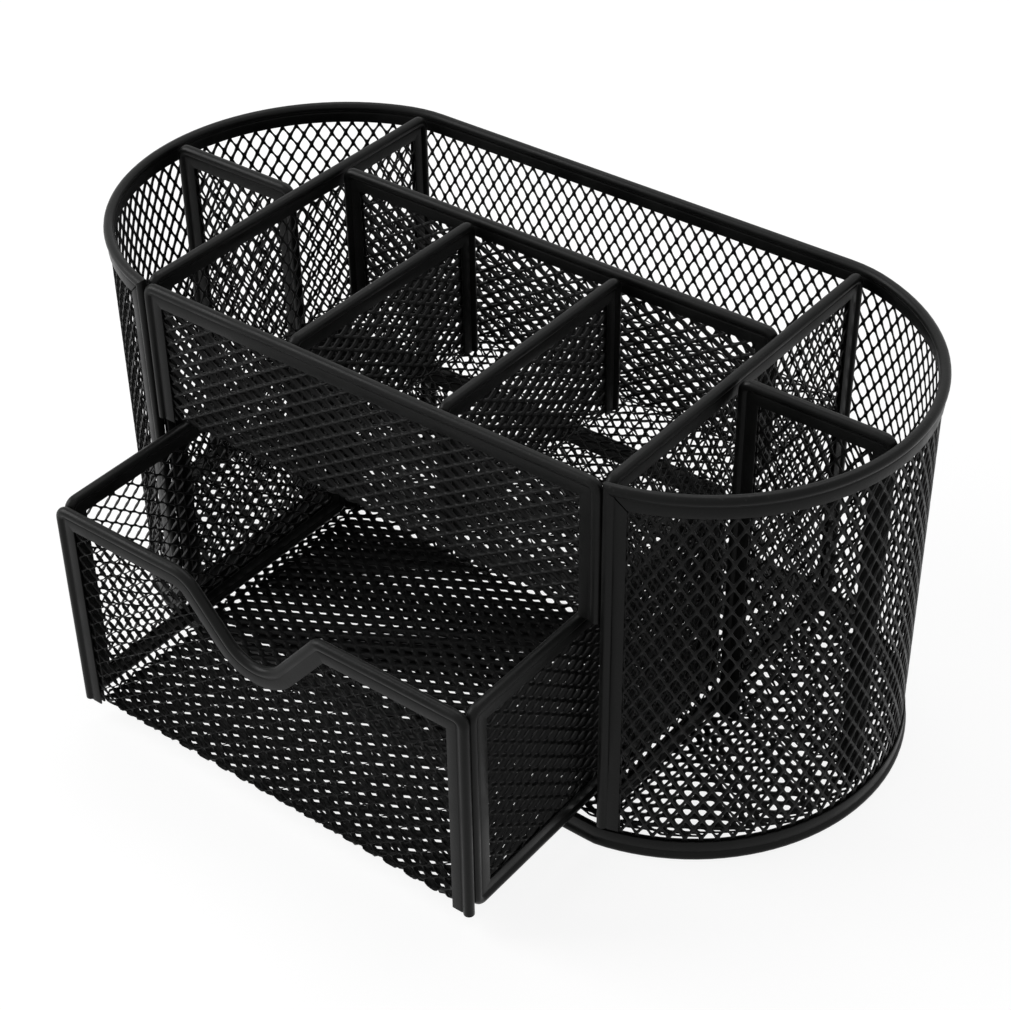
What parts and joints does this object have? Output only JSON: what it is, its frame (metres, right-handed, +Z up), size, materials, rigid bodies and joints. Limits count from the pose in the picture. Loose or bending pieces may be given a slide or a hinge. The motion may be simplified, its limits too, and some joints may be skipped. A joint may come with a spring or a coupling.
{
  "type": "pen stand with drawer",
  "caption": "Desk organizer of black expanded metal mesh with rounded ends, open compartments at the top and ends, and a sliding drawer with a finger scoop.",
  "frame": {"origin": "on the table, under the middle of the welded body's plan", "axes": "+X to the right along the front, +Y towards the back, +Z up; the drawer pulls out along -Y"},
  "size_m": [0.2198, 0.1483, 0.105],
  "materials": {
    "expanded_mesh": "satin black powder coat on expanded mesh",
    "edging_strip": "satin black powder coat on folded strip"
  },
  "bodies": {
    "organizer": {"outer_wall_mesh": "expanded_mesh", "wall_top_rim": "edging_strip", "base_rim": "edging_strip", "wall_left_post": "edging_strip", "wall_right_post": "edging_strip", "base_mesh": "expanded_mesh", "left_bulkhead_mesh": "expanded_mesh", "right_bulkhead_mesh": "expanded_mesh", "left_bulkhead_edging": "edging_strip", "right_bulkhead_edging": "edging_strip", "front_panel_and_shelf_mesh": "expanded_mesh", "front_panel_edging": "edging_strip", "long_divider_mesh": "expanded_mesh", "long_divider_edging": "edging_strip", "left_short_divider_mesh": "expanded_mesh", "right_short_divider_mesh": "expanded_mesh", "left_short_divider_edging": "edging_strip", "right_short_divider_edging": "edging_strip", "left_end_divider_mesh": "expanded_mesh", "right_end_divider_mesh": "expanded_mesh", "left_end_divider_edging": "edging_strip", "right_end_divider_edging": "edging_strip"},
    "drawer": {"drawer_tray_mesh": "expanded_mesh", "drawer_front_edging": "edging_strip", "drawer_back_edging": "edging_strip", "drawer_left_side_mesh": "expanded_mesh", "drawer_right_side_mesh": "expanded_mesh", "drawer_left_side_edging": "edging_strip", "drawer_right_side_edging": "edging_strip"}
  },
  "joints": [
    {"name": "drawer_slide", "type": "slide", "parent": "organizer", "child": "drawer", "axis": [0, -1, 0], "range_m": [-0.0397, 0.045]}
  ]
}
